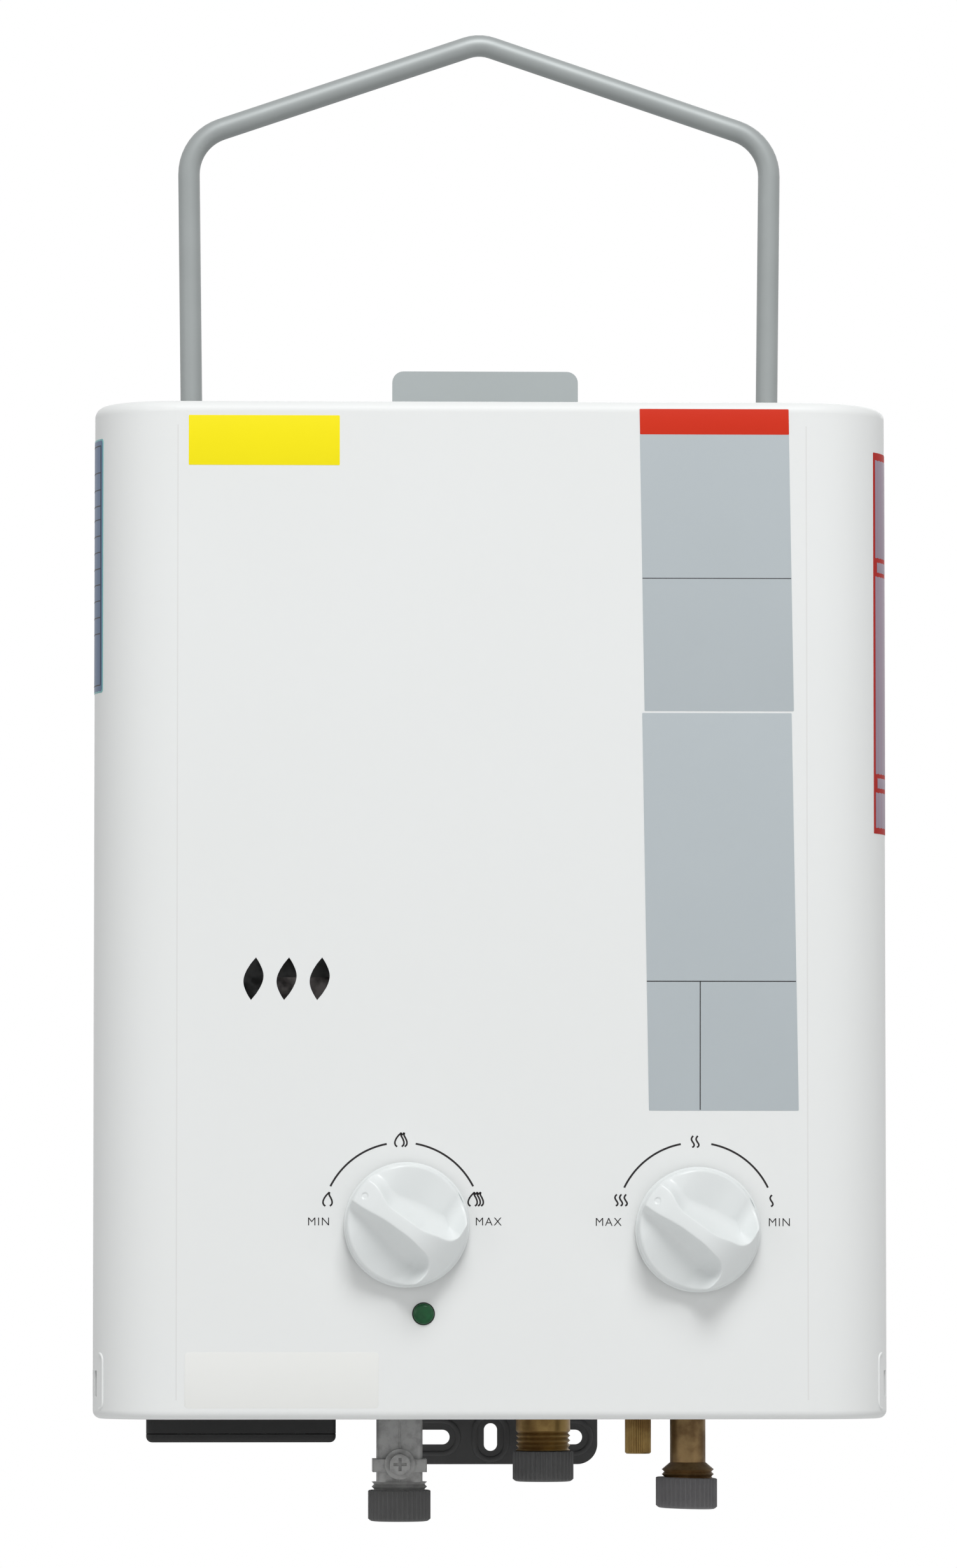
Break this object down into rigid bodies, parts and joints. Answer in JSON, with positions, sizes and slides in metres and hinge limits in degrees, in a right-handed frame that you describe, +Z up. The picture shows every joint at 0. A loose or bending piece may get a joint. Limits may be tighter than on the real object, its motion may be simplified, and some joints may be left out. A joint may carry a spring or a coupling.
{
  "type": "portable gas water heater",
  "caption": "White box-shaped gas water heater with a folding bail handle, two round knobs, a wall-hanging tab and gas and water connections underneath.",
  "frame": {"origin": "centre of the round hanging hole, in the plane of the wall face", "axes": "+X to the right seen from the front, +Y from the front towards the wall, +Z up"},
  "size_m": [0.2924, 0.1495, 0.5605],
  "materials": {
    "cover_paint": "smooth semi-gloss white",
    "galvanised": "bright zinc plate",
    "stainless": "satin",
    "handle_steel": "zinc plated",
    "black_steel": "black, satin",
    "white_plastic": "glossy",
    "green_plastic": "clear dark green",
    "black_plastic": "fine grain",
    "die_cast": "as cast",
    "zinc_fitting": "zinc plated",
    "brass": "machined, dulled",
    "copper": "bright copper",
    "black_rubber": "matt",
    "white_ceramic": "glazed",
    "cell_jacket": "plain printed jacket",
    "contact_steel": "bright"
  },
  "bodies": {
    "frame": {"front_cover": "cover_paint", "back_plate": "galvanised", "bottom_plate": "galvanised", "hang_bracket": "galvanised", "handle_brackets": "galvanised", "flue_grille": "stainless", "flue_hood": "stainless", "burner_frame": "stainless", "burner_bars": "stainless", "case_rivets": "handle_steel", "cover_screws": "handle_steel", "valve_screws": "handle_steel", "solenoid_valve": "handle_steel", "overheat_switch": "handle_steel", "lower_bracket": "black_steel", "indicator_lens": "green_plastic", "battery_box": "black_plastic", "indicator_holder": "black_plastic", "micro_switch": "black_plastic", "igniter_module": "black_plastic", "gas_inlet_neck": "die_cast", "gas_valve_body": "die_cast", "test_point_screw": "zinc_fitting", "bore_plug": "zinc_fitting", "water_valve_body": "brass", "diaphragm_cover": "brass", "cold_inlet_tube": "brass", "hot_outlet_fitting": "brass", "union_nuts": "brass", "burner_nozzles": "brass", "gas_manifold": "brass", "combustion_chamber": "copper", "coil_pipe": "copper", "exchanger_shell": "copper", "exchanger_fins": "copper", "exchanger_tubes": "copper", "hot_pipe": "copper", "diaphragm": "black_rubber", "electrodes": "white_ceramic", "battery_cells": "cell_jacket", "cell_contacts": "contact_steel"},
    "handle": {"handle_bail": "handle_steel", "handle_clips": "handle_steel"},
    "gas_knob_body": {"gas_knob": "white_plastic", "gas_spindle": "brass"},
    "water_knob_body": {"water_knob": "white_plastic", "water_spindle": "brass"},
    "battery_lid": {"battery_door": "black_plastic", "door_contact": "contact_steel"},
    "gas_cap_body": {"gas_cap": "black_plastic", "gas_cap_washer": "black_rubber"},
    "hot_cap_body": {"hot_cap": "black_plastic", "hot_cap_washer": "black_rubber"},
    "cold_cap_body": {"cold_cap": "black_plastic", "cold_cap_washer": "black_rubber"},
    "drain": {"drain_plug": "brass", "drain_seal": "black_rubber"},
    "linkage": {"push_rod": "handle_steel", "gas_poppet": "handle_steel"},
    "lever": {"switch_lever": "black_plastic"}
  },
  "joints": [
    {"name": "handle_fold", "type": "hinge", "parent": "frame", "child": "handle", "pos_m": [0, -0.007, -0.0455], "axis": [-1, 0, 0], "range_deg": [0, 180]},
    {"name": "gas_knob_turn", "type": "hinge", "parent": "frame", "child": "gas_knob_body", "pos_m": [-0.0312, -0.129, -0.3052], "axis": [0, 1, 0], "range_deg": [0, 108]},
    {"name": "water_knob_turn", "type": "hinge", "parent": "frame", "child": "water_knob_body", "pos_m": [0.0743, -0.129, -0.3069], "axis": [0, 1, 0], "range_deg": [0, 108]},
    {"name": "battery_door_open", "type": "hinge", "parent": "frame", "child": "battery_lid", "pos_m": [-0.0909, -0.0451, -0.3803], "axis": [1, 0, 0], "range_deg": [0, 100]},
    {"name": "gas_cap_pull", "type": "slide", "parent": "frame", "child": "gas_cap_body", "axis": [0, 0, -1], "range_m": [0, 0.03]},
    {"name": "hot_cap_pull", "type": "slide", "parent": "frame", "child": "hot_cap_body", "axis": [0, 0, -1], "range_m": [0, 0.03]},
    {"name": "cold_cap_pull", "type": "slide", "parent": "frame", "child": "cold_cap_body", "axis": [0, 0, -1], "range_m": [0, 0.03]},
    {"name": "drain_plug_pull", "type": "slide", "parent": "frame", "child": "drain", "axis": [0, 0, -1], "range_m": [0, 0.02]},
    {"name": "push_rod_slide", "type": "slide", "parent": "frame", "child": "linkage", "axis": [-1, 0, 0], "range_m": [0, 0.003], "stiffness_N_per_m": 400},
    {"name": "switch_lever_turn", "type": "hinge", "parent": "frame", "child": "lever", "pos_m": [0.014, -0.073, -0.2975], "axis": [0, 1, 0], "range_deg": [0, 24.5]}
  ],
  "couplings": [
    {"joint": "switch_lever_turn", "follows": "push_rod_slide", "rad_per_m": 132.4}
  ]
}
